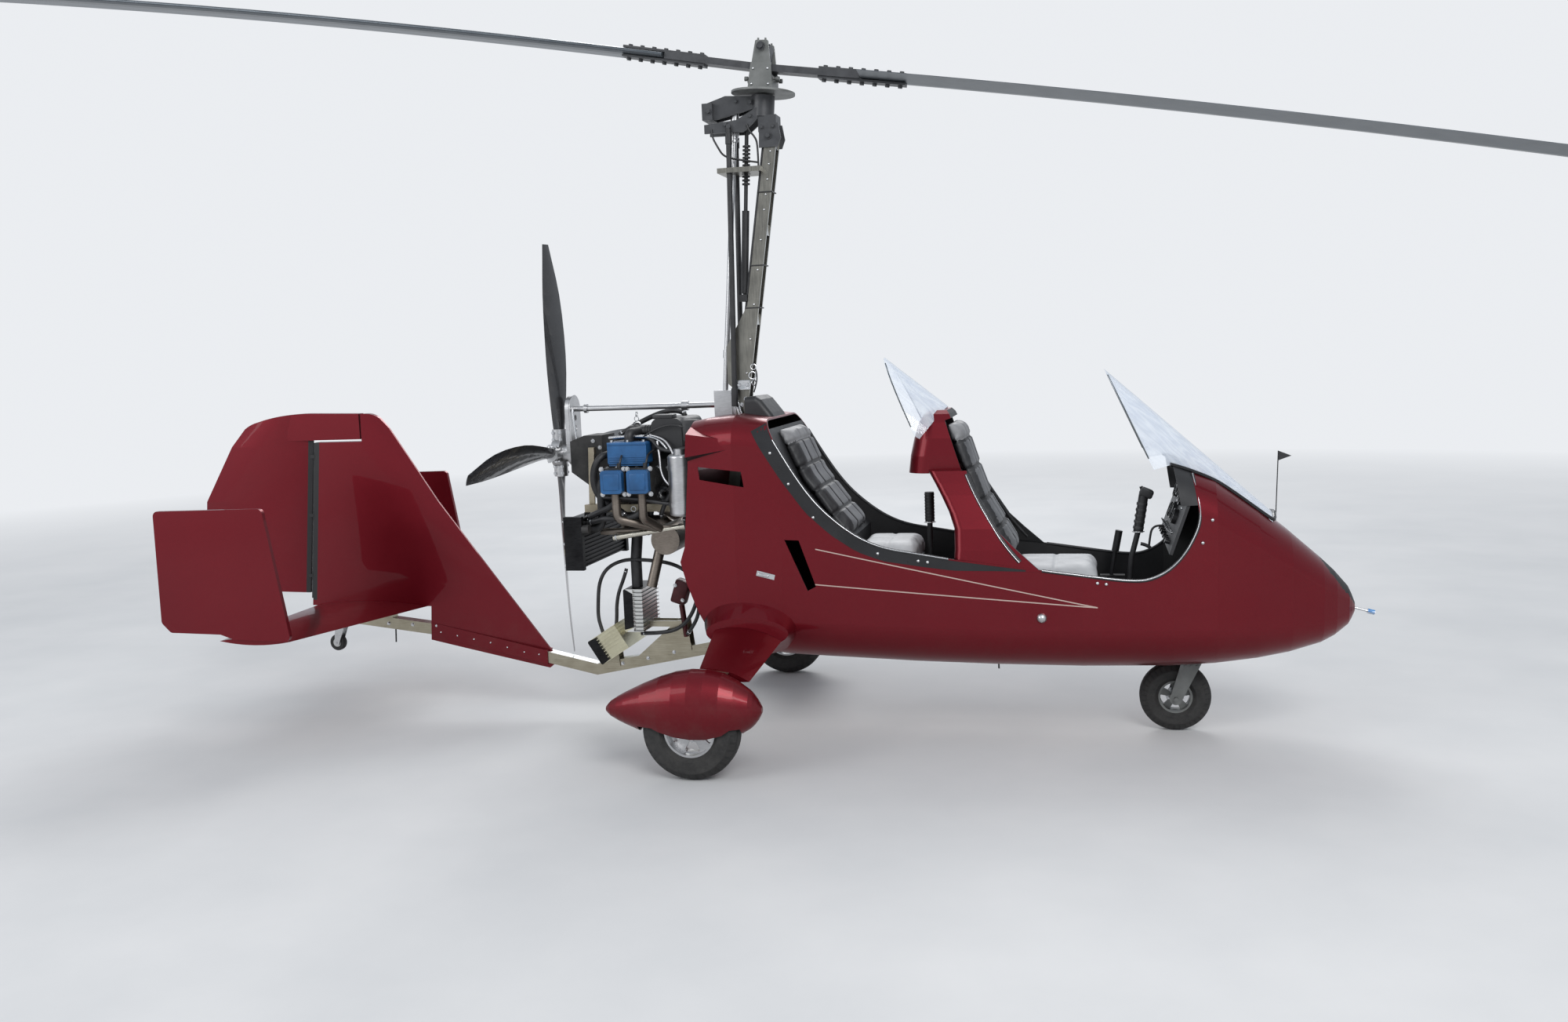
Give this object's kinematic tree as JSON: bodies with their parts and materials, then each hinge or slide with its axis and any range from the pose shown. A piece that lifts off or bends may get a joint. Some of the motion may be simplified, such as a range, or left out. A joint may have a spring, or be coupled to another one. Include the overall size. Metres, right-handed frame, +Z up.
{
  "type": "gyrocopter",
  "caption": "Two-seat open gyrocopter with tandem cockpits, pusher propeller, teetering rotor on a mast, tail with end plates and wheeled gear.",
  "frame": {"origin": "on the ground, under the rotor's teeter bolt", "axes": "+X forward to the nose, +Y to port, +Z up"},
  "size_m": [8.3654, 1.812, 3.4271],
  "materials": {
    "burgundy_shell": "high gloss metallic over composite",
    "black_plastic": "fine grain",
    "seat_fabric": "quilted",
    "clear_screen": "clear acrylic",
    "black_metal": "satin powder coat",
    "engine_black": "black cast",
    "bare_aluminium": "brushed",
    "dark_aluminium": "dark anodised",
    "grey_aluminium": "grey anodised",
    "blue_cover": "satin",
    "exhaust_steel": "heat tinted",
    "beige_steel": "satin",
    "cooler_fins": "finned",
    "hose_rubber": "matt",
    "rotor_grey": "slate grey anodised",
    "propeller_black": "gloss composite",
    "tyre_rubber": "worn",
    "probe_steel": "bright"
  },
  "bodies": {
    "airframe": {"fuselage": "burgundy_shell", "seat_pod": "burgundy_shell", "glare_hood": "black_plastic", "instrument_panel": "black_plastic", "cockpit_liner": "black_plastic", "seat_cushions": "seat_fabric", "seat_backs": "seat_fabric", "windscreens": "clear_screen", "cockpit_controls": "black_metal", "mast": "dark_aluminium", "rotor_head": "dark_aluminium", "control_rods": "black_metal", "trim_strut": "black_metal", "prerotator_drive": "bare_aluminium", "engine_case": "engine_black", "valve_covers": "blue_cover", "airbox": "black_plastic", "intake_runners": "black_plastic", "gearbox": "engine_black", "turbocharger": "exhaust_steel", "oil_tank": "bare_aluminium", "exhaust": "exhaust_steel", "engine_mount": "beige_steel", "radiators": "cooler_fins", "cooling_hoses": "hose_rubber", "keel_tube": "bare_aluminium", "fin": "burgundy_shell", "stabiliser": "burgundy_shell", "end_plates": "burgundy_shell", "tail_wheel_fork": "bare_aluminium", "main_legs": "burgundy_shell", "wheel_spats": "burgundy_shell", "main_axles": "beige_steel", "nose_leg_housing": "black_metal", "nose_probe": "probe_steel", "slip_pennant": "black_metal"},
    "rotor_tower": {"rotor_tower": "grey_aluminium"},
    "rotor": {"hub_bar": "dark_aluminium", "blade_straps": "dark_aluminium", "rotor_blades": "rotor_grey"},
    "propeller": {"propeller_hub": "bare_aluminium", "propeller_blades": "propeller_black"},
    "rudder": {"rudder": "burgundy_shell"},
    "nose_fork": {"nose_fork": "dark_aluminium"},
    "nose_wheel": {"nose_tyre": "tyre_rubber", "nose_rim": "dark_aluminium"},
    "right_wheel": {"right_tyre": "tyre_rubber", "right_rim": "bare_aluminium"},
    "left_wheel": {"left_tyre": "tyre_rubber", "left_rim": "bare_aluminium"},
    "tail_wheel": {"tail_wheel": "tyre_rubber"}
  },
  "joints": [
    {"name": "rotor_spin", "type": "hinge", "parent": "airframe", "child": "rotor_tower", "pos_m": [0, 0, 2.775], "axis": [0.0785, 0, 0.9969], "continuous": true},
    {"name": "rotor_teeter", "type": "hinge", "parent": "rotor_tower", "child": "rotor", "pos_m": [0, 0, 2.775], "axis": [0, 1, 0], "range_deg": [-13.8, 2.2]},
    {"name": "propeller_spin", "type": "hinge", "parent": "airframe", "child": "propeller", "pos_m": [-0.985, 0, 1.164], "axis": [1, 0, 0], "continuous": true},
    {"name": "rudder_hinge", "type": "hinge", "parent": "airframe", "child": "rudder", "pos_m": [-2.2135, 0, 0.865], "axis": [0.1072, 0, 0.9942], "range_deg": [-25, 25]},
    {"name": "nose_steer", "type": "hinge", "parent": "airframe", "child": "nose_fork", "pos_m": [1.645, 0, 0.3], "axis": [0, 0, 1], "range_deg": [-30, 30]},
    {"name": "nose_wheel_spin", "type": "hinge", "parent": "nose_fork", "child": "nose_wheel", "pos_m": [1.585, 0, 0.138], "axis": [0, 1, 0], "continuous": true},
    {"name": "right_wheel_spin", "type": "hinge", "parent": "airframe", "child": "right_wheel", "pos_m": [-0.188, -0.804, 0.186], "axis": [0, 1, 0], "continuous": true},
    {"name": "left_wheel_spin", "type": "hinge", "parent": "airframe", "child": "left_wheel", "pos_m": [-0.188, 0.804, 0.186], "axis": [0, 1, 0], "continuous": true},
    {"name": "tail_wheel_spin", "type": "hinge", "parent": "airframe", "child": "tail_wheel", "pos_m": [-2.14, 0, 0.306], "axis": [0, 1, 0], "continuous": true}
  ]
}
